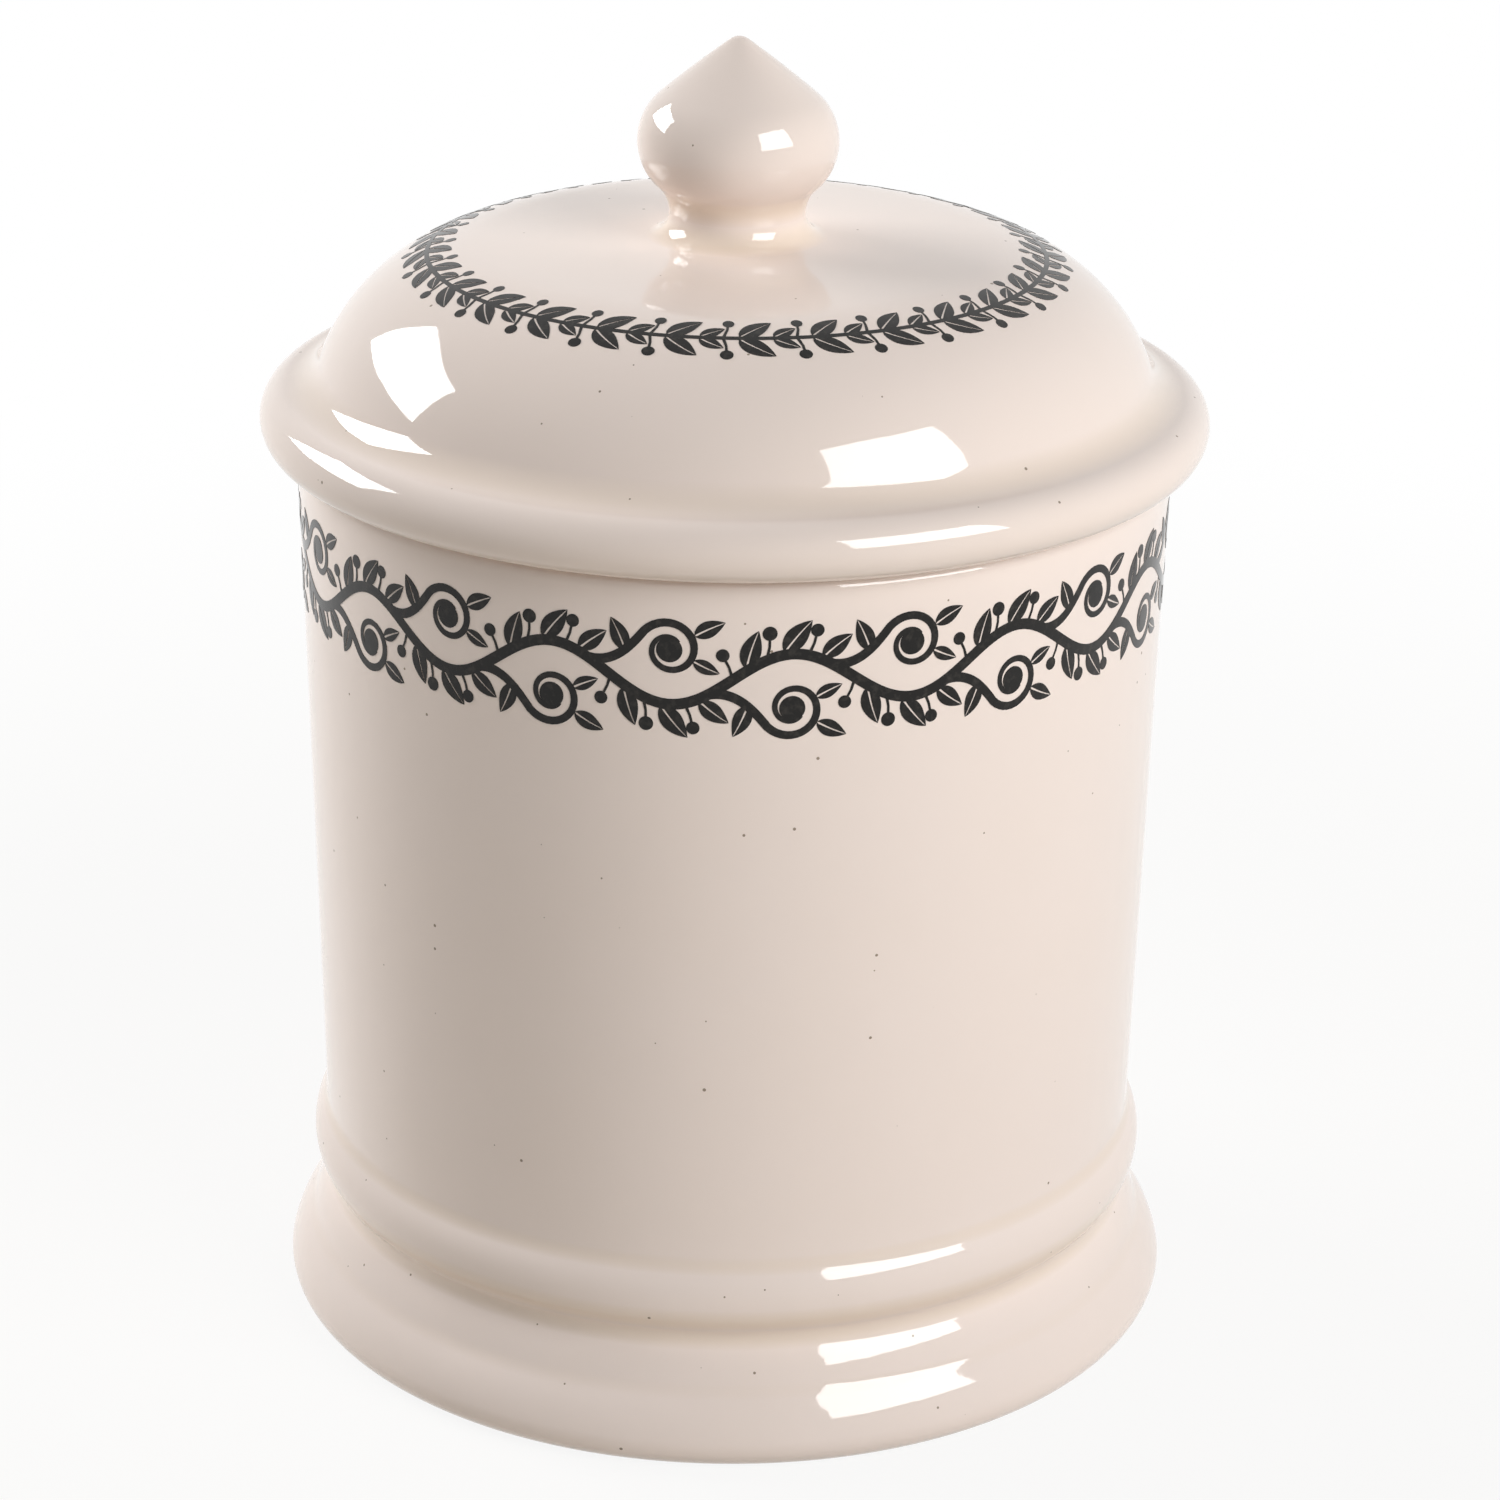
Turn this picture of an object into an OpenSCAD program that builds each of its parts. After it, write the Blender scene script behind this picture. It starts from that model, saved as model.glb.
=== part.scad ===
// Covered jam pot in cream glazed earthenware: a pot with a moulded foot, a domed lid with a
// rolled flange, and an onion-shaped knob. All three are turned shapes about the Z axis, and the
// pot stands on the XY plane.

/* [Pot] */
// Height of the pot from the table to its rim
pot_h = 90; // [70:1:120]
// Outer diameter of the wall at the rim
rim_d = 85.6; // [76:0.2:100]
// Outer diameter of the wall where it leaves the bead at its foot
waist_d = 82.8; // [74:0.2:96]
// Thickness of the wall
pot_wall_t = 4.4; // [3:0.1:6]
// Thickness of the floor
floor_t = 5.6; // [3:0.1:8]
// Radius of the corner between the wall and the floor, inside
inside_corner_r = 7; // [2:0.5:12]
// Radius of the rim's outer edge
rim_outer_r = 1.5; // [0.4:0.1:2]
// Radius of the rim's inner edge
rim_inner_r = 1.2; // [0.6:0.1:2]

/* [Foot ring] */
// Width of the flat ring that the pot stands on
foot_ring_w = 5.4; // [3:0.1:10]
// Depth of the hollow inside the foot ring
recess_h = 2.6; // [1:0.1:5]
// Radius of the foot ring's inner edge
ring_edge_r = 0.8; // [0.3:0.1:1.2]
// Radius where the hollow's side meets the underside of the floor
recess_corner_r = 1.6; // [0.6:0.1:2.4]

/* [Mouldings] */
// How far the foot roll stands out from the line of the wall
foot_proud = 4.4; // [3:0.1:6]
// Radius of the foot roll's lower edge
foot_edge_r = 2.6; // [1.6:0.1:3.6]
// Upward slope of the roll where its lower edge passes into its face
foot_turn = 14; // [0:1:20]
// Radius of the foot roll's face
foot_face_r = 9.5; // [6:0.5:16]
// Radius of the shallow groove between the foot roll and the step
groove_r = 5.1; // [3:0.1:7]
// How far the arc of the sloping step would reach out from the line of the wall
step_proud = 2.4; // [1.8:0.1:3]
// Height of the centre of the step's arc
step_z = 4.1; // [3:0.1:5]
// Radius of the step's arc
step_face_r = 12.8; // [10:0.1:15]
// Radius of the cove between the step and the bead
cove_r = 1.9; // [1:0.1:3]
// How far the bead stands out from the line of the wall
bead_proud = 1.4; // [0.8:0.1:2]
// Height of the bead's widest line
bead_z = 16.7; // [15.5:0.1:20]
// Radius of the bead
bead_r = 5.1; // [4:0.1:6]
// Radius of the blend from the bead to the wall
blend_r = 3.2; // [1.6:0.1:8]

/* [Lid] */
// How far the lid's flange stands out past the pot's rim
flange_proud = 3.5; // [1.5:0.1:6]
// Radius of the flange's roll
flange_r = 2.9; // [2:0.1:4.5]
// Height of the dome's crown above the pot's rim
dome_h = 20.4; // [16:0.1:28]
// Radius of the dome's crown
crown_r = 400; // [150:5:600]
// Radius of the dome's shoulder
shoulder_r = 18.3; // [14:0.1:24]
// How far the shoulder's upright line stands in from the flange's edge
shoulder_in = 4.6; // [2:0.1:8]
// Radius of the hollow curve between the shoulder and the flange
dip_r = 4; // [2.5:0.1:12]
// Thickness of the dome
lid_wall_t = 4.2; // [3:0.1:6]
// Radius inside the dome, where its roof turns down to the locating ring
roof_corner_r = 12; // [6:0.5:20]

/* [Locating ring] */
// Depth of the ring under the lid that drops into the pot's mouth
ring_h = 6; // [3:0.5:12]
// Thickness of the ring
ring_t = 3.6; // [2.6:0.1:6]
// Gap between the ring and the inside of the mouth, all round
ring_gap = 0.8; // [0.4:0.1:1.5]
// Radius of the ring's two lower edges
ring_round_r = 1.1; // [0.4:0.1:1.2]
// Radius of the fillet where the ring meets the seat
seat_fillet_r = 0.8; // [0.3:0.1:1]

/* [Knob] */
// Height of the knob from its seat on the lid to its tip
knob_h = 17; // [14:0.1:26]
// Largest diameter of the knob
knob_d = 19.4; // [16:0.1:26]
// Diameter of the neck, where the knob is joined to the lid
neck_d = 13.2; // [8:0.1:15]
// Radius of the hollow curve under the knob's round side
under_r = 3.5; // [1:0.1:6]
// Radius of the curve from the neck out on to the lid
flare_r = 2.3; // [0.8:0.1:4]
// Radius of the knob's round side
bulb_r = 5.8; // [4.5:0.1:8]
// Radius of the knob's tip
tip_r = 1.5; // [0.4:0.1:2]
// Slope at which the round side runs out into the drawn-up top
ogee_slope = 41; // [30:1:55]
// Slope at which the drawn-up top reaches the tip
tip_slope = 36; // [20:1:50]

/* [Finish] */
// Colour of the glaze
glaze_colour = "linen"; // [linen, ivory, antiquewhite]

/* [Hidden] */
$fn = 144;

// Largest turn between two points along an arc, in degrees
arc_turn = 10;
// Longest step between two points along an arc
arc_step = 1.5;
// Points along the drawn-up top of the knob
ogee_steps = 10;
// Length of the handles that draw the knob's top, as a share of its span
ogee_handle_share = 0.3;

// Line of the pot's outer wall: its radius at a height, and how much it leans
waist_z = bead_z + bead_r;
wall_lean = (rim_d - waist_d) / 2 / (pot_h - waist_z);
wall_lean_angle = atan(wall_lean);
wall_stretch = sqrt(1 + pow(wall_lean, 2));
function wall_radius(z) = waist_d / 2 + wall_lean * (z - waist_z);
function bore_radius(z) = wall_radius(z) - pot_wall_t * wall_stretch;
floor_z = recess_h + floor_t;
mouth_r = bore_radius(pot_h);

// Centres of the three mouldings, and of the hollow curves that join them
foot_edge_c = [wall_radius(foot_edge_r) + foot_proud - foot_edge_r, foot_edge_r];
foot_face_c = foot_edge_c - (foot_face_r - foot_edge_r) * [cos(foot_turn), sin(foot_turn)];
step_c = [wall_radius(step_z) + step_proud - step_face_r, step_z];
bead_c = [wall_radius(bead_z) + bead_proud - bead_r, bead_z];
groove_c = joining_centre(foot_face_c, foot_face_r, step_c, step_face_r, groove_r);
cove_c = joining_centre(step_c, step_face_r, bead_c, bead_r, cove_r);
blend_c = wall_blend_centre(bead_c, bead_r, blend_r);
foot_ring_in_r = foot_edge_c.x - foot_ring_w;

// Centres of the rim's two rounded edges and of the corner inside
rim_outer_c = inside_wall(wall_radius(pot_h - rim_outer_r), pot_h - rim_outer_r, rim_outer_r);
rim_inner_c = inside_wall(bore_radius(pot_h - rim_inner_r), pot_h - rim_inner_r, -rim_inner_r);
corner_z = floor_z + inside_corner_r;
inside_corner_c = inside_wall(bore_radius(corner_z), corner_z, inside_corner_r);

// The lid is seated on the rim, and its flange and dome follow the rim's diameter
seat_z = pot_h;
flange_edge_r = rim_d / 2 + flange_proud;
flange_c = [flange_edge_r - flange_r, seat_z + flange_r];
crown_c = [0, seat_z + dome_h - crown_r];
shoulder_x = flange_edge_r - shoulder_in - shoulder_r;
shoulder_c = [shoulder_x, crown_c.y + rise(crown_r - shoulder_r, shoulder_x)];
dip_c = joining_centre(flange_c, flange_r, shoulder_c, shoulder_r, dip_r);

// The locating ring stands clear of the mouth, and the roof's hollow runs down inside it
ring_out_r = mouth_r - ring_gap;
ring_in_r = ring_out_r - ring_t;
ring_low_z = seat_z - ring_h;
roof_r = crown_r - lid_wall_t;
roof_corner_x = ring_in_r - roof_corner_r;
roof_corner_c = [roof_corner_x, crown_c.y + rise(roof_r - roof_corner_r, roof_corner_x)];

// The neck, where the knob is joined on, is the narrowest line between the crown and the knob
neck_r = neck_d / 2;
neck_z = crown_c.y + rise(crown_r + flare_r, neck_r + flare_r);
flare_c = [neck_r + flare_r, neck_z];
under_c = [neck_r + under_r, neck_z];
bulb_x = knob_d / 2 - bulb_r;
bulb_c = [bulb_x, neck_z + rise(bulb_r + under_r, under_c.x - bulb_x)];
tip_c = [0, neck_z + knob_h - tip_r];

// Upright side of a right triangle, from its longest side and its base
function rise(long, base) = sqrt(pow(long, 2) - pow(base, 2));

// Direction from one point to another, in degrees
function bearing(from, to) = atan2(to.y - from.y, to.x - from.x);

// Points along an arc about a centre, between two directions
function arc(centre, radius, from, to) =
    let (
        turn = to - from,
        steps = ceil(max(abs(turn) / arc_turn, radius * abs(turn) * PI / 180 / arc_step))
    )
    [for (i = [0 : steps]) centre + radius * [cos(from + turn * i / steps), sin(from + turn * i / steps)]];

// Centre of the hollow arc that touches two round forms, on the outer side of the upper one
function joining_centre(low, low_r, high, high_r, radius) =
    let (
        apart = high - low,
        span = norm(apart),
        along = (pow(span, 2) + pow(low_r + radius, 2) - pow(high_r + radius, 2)) / 2 / span,
        out = rise(low_r + radius, along)
    )
    low + (along * apart + out * [apart.y, -apart.x]) / span;

// Centre of the hollow arc that touches a round form below and the line of the wall above it
function wall_blend_centre(low, low_r, radius) =
    let (
        up = [sin(wall_lean_angle), cos(wall_lean_angle)],
        out = [cos(wall_lean_angle), -sin(wall_lean_angle)],
        start = [wall_radius(low.y), low.y] + radius * out,
        offset = start - low,
        along = rise(low_r + radius, norm(offset - (offset * up) * up)) - offset * up
    )
    start + along * up;

// Centre of a round edge that touches a leaning face from inside, or outside if the radius is negative
function inside_wall(face_r, z, radius) = [face_r - radius * wall_stretch, z];

// Points along the drawn-up top, between two points with given slopes
function drawn_curve(from, from_slope, to, to_slope) =
    let (
        handle = ogee_handle_share * norm(to - from),
        near = from + handle * [-cos(from_slope), sin(from_slope)],
        far = to - handle * [-cos(to_slope), sin(to_slope)]
    )
    [for (i = [1 : ogee_steps - 1]) blended(from, near, far, to, i / ogee_steps)];

function blended(a, b, c, d, t) =
    let (u = 1 - t)
    pow(u, 3) * a + 3 * pow(u, 2) * t * b + 3 * u * pow(t, 2) * c + pow(t, 3) * d;

// Half outlines, from the axis along the lower side and back to the axis along the upper side
function foot_outline() = concat(
    [[0, recess_h]],
    arc([foot_ring_in_r - recess_corner_r, recess_h - recess_corner_r], recess_corner_r, 90, 0),
    arc([foot_ring_in_r + ring_edge_r, ring_edge_r], ring_edge_r, 180, 270),
    arc(foot_edge_c, foot_edge_r, -90, foot_turn)
);

function moulding_outline() = concat(
    arc(foot_face_c, foot_face_r, foot_turn, bearing(foot_face_c, groove_c)),
    arc(groove_c, groove_r, bearing(foot_face_c, groove_c) + 180, bearing(step_c, groove_c) + 180),
    arc(step_c, step_face_r, bearing(step_c, groove_c), bearing(step_c, cove_c)),
    arc(cove_c, cove_r, bearing(step_c, cove_c) + 180, bearing(bead_c, cove_c) + 180),
    arc(bead_c, bead_r, bearing(bead_c, cove_c), bearing(bead_c, blend_c)),
    arc(blend_c, blend_r, bearing(bead_c, blend_c) + 180, 180 - wall_lean_angle)
);

function rim_outline() = concat(
    arc(rim_outer_c, rim_outer_r, -wall_lean_angle, 90),
    arc(rim_inner_c, rim_inner_r, 90, 180 - wall_lean_angle)
);

function inside_outline() = concat(
    arc(inside_corner_c, inside_corner_r, -wall_lean_angle, -90),
    [[0, floor_z]]
);

function roof_outline() = concat(
    arc(crown_c, roof_r, 90, bearing(crown_c, roof_corner_c)),
    arc(roof_corner_c, roof_corner_r, bearing(crown_c, roof_corner_c), 0)
);

function ring_outline() = concat(
    arc([ring_in_r + ring_round_r, ring_low_z + ring_round_r], ring_round_r, 180, 270),
    arc([ring_out_r - ring_round_r, ring_low_z + ring_round_r], ring_round_r, -90, 0),
    arc([ring_out_r + seat_fillet_r, seat_z - seat_fillet_r], seat_fillet_r, 180, 90)
);

function dome_outline() = concat(
    arc(flange_c, flange_r, -90, bearing(flange_c, dip_c)),
    arc(dip_c, dip_r, bearing(dip_c, flange_c) + 360, bearing(dip_c, shoulder_c) + 360),
    arc(shoulder_c, shoulder_r, bearing(shoulder_c, dip_c), bearing(crown_c, shoulder_c)),
    arc(crown_c, crown_r, bearing(crown_c, shoulder_c), bearing(crown_c, flare_c)),
    arc(flare_c, flare_r, bearing(flare_c, crown_c) + 360, 180),
    [[0, neck_z]]
);

function knob_outline() = concat(
    [[0, neck_z]],
    arc(under_c, under_r, 180, bearing(under_c, bulb_c)),
    arc(bulb_c, bulb_r, bearing(bulb_c, under_c), 90 - ogee_slope),
    drawn_curve(
        bulb_c + bulb_r * [sin(ogee_slope), cos(ogee_slope)], ogee_slope,
        tip_c + tip_r * [sin(tip_slope), cos(tip_slope)], tip_slope
    ),
    arc(tip_c, tip_r, 90 - tip_slope, 90)
);

// The pot: foot ring, mouldings, wall, rim and inside
module pot() {
    color(glaze_colour)
        rotate_extrude()
            polygon(concat(foot_outline(), moulding_outline(), rim_outline(), inside_outline()));
}

// The lid: roof inside, locating ring, flat seat, rolled flange, dome and the seat of the knob
module lid() {
    color(glaze_colour)
        rotate_extrude()
            polygon(concat(roof_outline(), ring_outline(), dome_outline()));
}

// The knob, joined to the lid at the neck
module knob() {
    color(glaze_colour)
        rotate_extrude()
            polygon(knob_outline());
}

pot();
lid();
knob();
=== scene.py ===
import math

import bmesh
import bpy
from mathutils import Matrix, Vector
from mathutils.geometry import delaunay_2d_cdt


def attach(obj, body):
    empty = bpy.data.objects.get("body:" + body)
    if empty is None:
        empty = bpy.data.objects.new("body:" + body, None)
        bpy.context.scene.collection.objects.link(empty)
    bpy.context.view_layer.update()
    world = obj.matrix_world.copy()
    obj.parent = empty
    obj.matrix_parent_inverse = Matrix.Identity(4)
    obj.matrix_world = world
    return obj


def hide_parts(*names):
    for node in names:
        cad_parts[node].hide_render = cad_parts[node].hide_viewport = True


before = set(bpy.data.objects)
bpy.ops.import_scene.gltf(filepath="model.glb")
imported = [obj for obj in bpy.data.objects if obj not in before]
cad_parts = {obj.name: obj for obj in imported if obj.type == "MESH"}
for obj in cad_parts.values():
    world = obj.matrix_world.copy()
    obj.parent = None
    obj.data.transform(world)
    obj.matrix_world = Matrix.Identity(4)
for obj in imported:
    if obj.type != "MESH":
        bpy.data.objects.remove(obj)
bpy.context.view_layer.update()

# Everything is drawn in millimetres and stored in metres
MM = 0.001

# The pot's body
POT_H = 90.0
RIM_D = 85.6
WAIST_D = 82.8
POT_WALL = 4.4
FLOOR_T = 5.6
INSIDE_CORNER_R = 7.0
RIM_OUTER_R = 1.5
RIM_INNER_R = 1.2

# The foot ring under it
FOOT_RING_W = 5.4
RECESS_H = 2.6
RING_EDGE_R = 0.8
RECESS_CORNER_R = 1.6

# The mouldings at its foot
FOOT_PROUD = 4.4
FOOT_EDGE_R = 2.6
FOOT_TURN = 14.0
FOOT_FACE_R = 9.5
GROOVE_R = 5.1
STEP_PROUD = 2.4
STEP_Z = 4.1
STEP_FACE_R = 12.8
COVE_R = 1.9
BEAD_PROUD = 1.4
BEAD_Z = 16.7
BEAD_R = 5.1
# Where the painted shade on the bead's underside ends, as a direction round the bead
BEAD_SHADE_TURN = -6.0
BLEND_R = 3.2

# The lid and its locating ring
FLANGE_PROUD = 3.5
FLANGE_R = 2.9
DOME_H = 20.4
CROWN_R = 400.0
SHOULDER_R = 18.3
SHOULDER_IN = 4.6
DIP_R = 4.0
LID_WALL = 4.2
ROOF_CORNER_R = 12.0
RING_H = 6.0
RING_T = 3.6
RING_GAP = 0.8
RING_ROUND_R = 1.1
SEAT_FILLET_R = 0.8

# The knob
KNOB_H = 17.0
KNOB_D = 19.4
NECK_D = 13.2
UNDER_R = 3.5
FLARE_R = 2.3
BULB_R = 5.8
TIP_R = 1.5
OGEE_SLOPE = 41.0
TIP_SLOPE = 36.0
OGEE_HANDLE_SHARE = 0.3

# How much each hollow is darkened towards the deepest colour, as a share of it: pooled glaze and painted
# shade
RECESS_POOL_AND_SHADE = 0.7
GROOVE_POOL_AND_SHADE = 0.1
COVE_POOL_AND_SHADE = 0.45
# The bead's underside, which faces down, is darkened as painted shade only
BEAD_PAINTED_SHADE = 0.5
BLEND_POOL_AND_SHADE = 0.35
FLOOR_POOL_AND_SHADE = 0.8
ROOF_POOL_AND_SHADE = 0.5
DIP_POOL_AND_SHADE = 0.35
FLARE_POOL_AND_SHADE = 0.6
NECK_POOL_AND_SHADE = 0.5

# How finely the turned forms are drawn
ARC_TURN = 4.0
ARC_STEP = 1.0
LONGEST_SPAN = 3.0
OGEE_STEPS = 26
WALL_SEGMENTS = 256
KNOB_SEGMENTS = 160
MERGE_GAP = 0.002
SHARP_ANGLE = math.radians(35.0)

# The printed borders: how far they stand on the glaze, and how finely they are cut and joined
PRINT_LIFT = 0.04
PRINT_SINK = 0.06
PRINT_GRID = 1.2
CUT_PRECISION = 0.000001
REPEAT_GAP = 0.0002

# The vine round the pot
VINE_REPEATS = 12
VINE_MIDDLE_Z = 80.3
VINE_WAVE = 2.5
VINE_STEM_HALF = 0.52
VINE_STEM_STEPS = 48

# Where its repeats meet, on a bare stretch of the stem
VINE_START = -3.45

# Leaves on half a wave of its stem: place, heading, length and width
STEM_LEAF_ROOT = 0.2
STEM_LEAF_BEND = -0.11
STEM_LEAVES = ((1.3, 80, 3.8, 1.9), (4.7, 57, 3.9, 2.0), (8.2, 44, 3.4, 1.75))

# Berries on it: place, heading, length of stalk and radius
STEM_BERRIES = ((0.1, 112, 2.5, 0.62), (3.1, 84, 2.6, 0.68), (6.9, 72, 2.5, 0.62))

# Leaves on its tendril: foot, heading, length, width and bend
TENDRIL_LEAVES = (
    ((1.5, -2.35), -108, 3.4, 1.7, -0.10),
    ((7.75, -4.15), -32, 3.1, 1.6, 0.10),
    ((7.62, -1.78), 30, 2.7, 1.3, -0.08),
)

# The sprig round the dome
SPRIG_REPEATS = 28
SPRIG_MIDDLE_R = 29.9
SPRIG_STEM_HALF = 0.24
SPRIG_STEM_STEPS = 14

# Leaves on one side of its stem: foot, heading, length, width and bend
SPRIG_LEAVES = (((0.3, 0.1), 43, 3.9, 1.95, -0.1), ((3.4, 0.1), 36, 2.6, 1.35, -0.1))

# Its berry: foot, heading, length of stalk and radius
SPRIG_BERRY = ((5.55, 0.0), 80, 2.35, 0.58)

# The camera: where it stands, and how it is turned
CAMERA_BACK = 0.40753
CAMERA_UP = 0.21709
CAMERA_TILT = 0.37459
CAMERA_PAN = 0.0047
CAMERA_ROLL = 0.01372
CAMERA_LENS = 104.11
SENSOR = 36.0

# The two soft boxes: bearing from the front, distance, lowest and highest edge, width and radiance
RIGHT_BOX = dict(bearing=46.0, away=0.69, low=0.25, high=0.73, width=0.49, radiance=8.3)
LEFT_BOX = dict(bearing=-116.0, away=0.65, low=0.283, high=0.575, width=0.45, radiance=12.0)

# The world's light from all round, and from a low band behind the pot
FILL = 0.02
BACK_LIGHT = 3.4
BACK_LIGHT_POWER = 2.0

# The floor, and how far it is lifted to white where it is seen, near the pot and far from it
FLOOR_HALF = 2.0
FLOOR_ROUGHNESS = 0.9
NEAR_LIFT = 0.90
FAR_LIFT = 1.0
NEAR_REACH = 0.10
FAR_REACH = 0.32

# Colours, as linear values
POT_GLAZE = (0.885, 0.775, 0.722, 1.0)
# The lid's and knob's copy of the pot's glaze, made cooler and darker as painted shade for how the light
# falls on the lid
LID_GLAZE_WITH_PAINTED_SHADE = (0.865, 0.752, 0.69, 1.0)
# Deepest colour of the hollows: pooled glaze and painted shade
POOLED_GLAZE_AND_SHADE = (0.80, 0.66, 0.52, 1.0)
SPECK = (0.30, 0.23, 0.17, 1.0)
PRINT_BLACK = (0.010, 0.009, 0.008, 1.0)
PRINT_WORN = (0.034, 0.030, 0.026, 1.0)
BISCUIT = (0.72, 0.58, 0.44, 1.0)
PALE_FLOOR = (0.68, 0.64, 0.57, 1.0)

# Gloss of the glaze, and its ripples, in metres
GLAZE_ROUGHNESS = 0.045
GLAZE_IOR = 1.55
PRINT_GLOSS = 0.22
RIPPLE_DEPTH = 0.00006
SLOW_RIPPLE = 0.0083
FINE_RIPPLE = 0.0014
FINE_SHARE = 0.05

# More of the fine ripple towards the foot, between two heights in metres
FOOT_FINE_SHARE = 0.10
FOOT_RIPPLE_HEIGHTS = (0.008, 0.020)

# The ground foot ring: where the glaze ends, and how much rougher it is without it
BARE_HEIGHTS = (0.0002, 0.0005)
BARE_ROUGHER = 0.7

# Patterns in the glaze and the print: how fine, how many to a metre and how strong
NOISE_DETAIL = 3.0
RIPPLE_NOISE_ROUGHNESS = 0.45
CLOUD_SCALE = 70.0
CLOUD_SHARE = 0.16
MOTTLE_SCALE = 1500.0
WORN_FROM = 0.5
WORN_TO = 0.75
SPECK_LEAST = 0.5


# Small geometry

def rise(longest, base):
    """Upright side of a right triangle, from its longest side and its base."""
    return math.sqrt(longest ** 2 - base ** 2)


def unit(degrees):
    """Unit vector in a direction."""
    return Vector((math.cos(math.radians(degrees)), math.sin(math.radians(degrees))))


def bearing(start, end):
    """Direction from one point of an outline to another, in degrees."""
    return math.degrees(math.atan2(end[1] - start[1], end[0] - start[0]))


def arc(centre, radius, start, end, pool_and_shade=0.0):
    """Outline points (radius, height, share of pooled glaze and painted shade) along an arc between two
    directions.
    """
    turn = end - start
    length = radius * math.radians(abs(turn))
    steps = math.ceil(max(abs(turn) / ARC_TURN, length / ARC_STEP))
    points = []
    for i in range(steps + 1):
        share = i / steps
        angle = math.radians(start + turn * share)
        darkening = pool_and_shade * math.sin(math.pi * share)
        out = radius * math.cos(angle)
        up = radius * math.sin(angle)
        points.append((centre[0] + out, centre[1] + up, darkening))
    return points


def joining_centre(low, low_r, high, high_r, radius):
    """Centre of the hollow arc that touches two round forms, on the outer side of the upper one."""
    apart = high - low
    span = apart.length
    along = (span ** 2 + (low_r + radius) ** 2 - (high_r + radius) ** 2) / 2 / span
    out = rise(low_r + radius, along)
    return low + (along * apart + out * Vector((apart.y, -apart.x))) / span


def cubic(a, b, c, d, share):
    """Point on a cubic curve."""
    rest = 1 - share
    return rest ** 3 * a + 3 * rest ** 2 * share * b + 3 * rest * share ** 2 * c + share ** 3 * d


def with_short_spans(points):
    """The same outline with extra points wherever two of its points are far apart."""
    result = [points[0]]
    for before, after in zip(points, points[1:]):
        span = math.hypot(after[0] - before[0], after[1] - before[1])
        if span < MERGE_GAP:
            continue
        pieces = math.ceil(span / LONGEST_SPAN)
        for i in range(1, pieces + 1):
            result.append(tuple(p + (q - p) * i / pieces for p, q in zip(before, after)))
    return result


# The pot's outline: centres of its arcs, then the arcs in order

WAIST_Z = BEAD_Z + BEAD_R
WALL_LEAN = (RIM_D - WAIST_D) / 2 / (POT_H - WAIST_Z)
LEAN_ANGLE = math.degrees(math.atan(WALL_LEAN))
WALL_STRETCH = math.sqrt(1 + WALL_LEAN ** 2)
FLOOR_Z = RECESS_H + FLOOR_T


def wall_radius(z):
    """Radius of the pot's outer wall at a height."""
    return WAIST_D / 2 + WALL_LEAN * (z - WAIST_Z)


def bore_radius(z):
    """Radius of the pot's inner wall at a height."""
    return wall_radius(z) - POT_WALL * WALL_STRETCH


def inside_wall(face_r, z, radius):
    """Centre of a round edge behind a leaning face, or before it if the radius is negative."""
    return Vector((face_r - radius * WALL_STRETCH, z))


def wall_blend_centre(low, low_r, radius):
    """Centre of the hollow arc that touches a round form below and the line of the wall above it."""
    lean = math.radians(LEAN_ANGLE)
    up = Vector((math.sin(lean), math.cos(lean)))
    out = Vector((math.cos(lean), -math.sin(lean)))
    start = Vector((wall_radius(low.y), low.y)) + radius * out
    offset = start - low
    across = offset - offset.dot(up) * up
    return start + (rise(low_r + radius, across.length) - offset.dot(up)) * up


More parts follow.
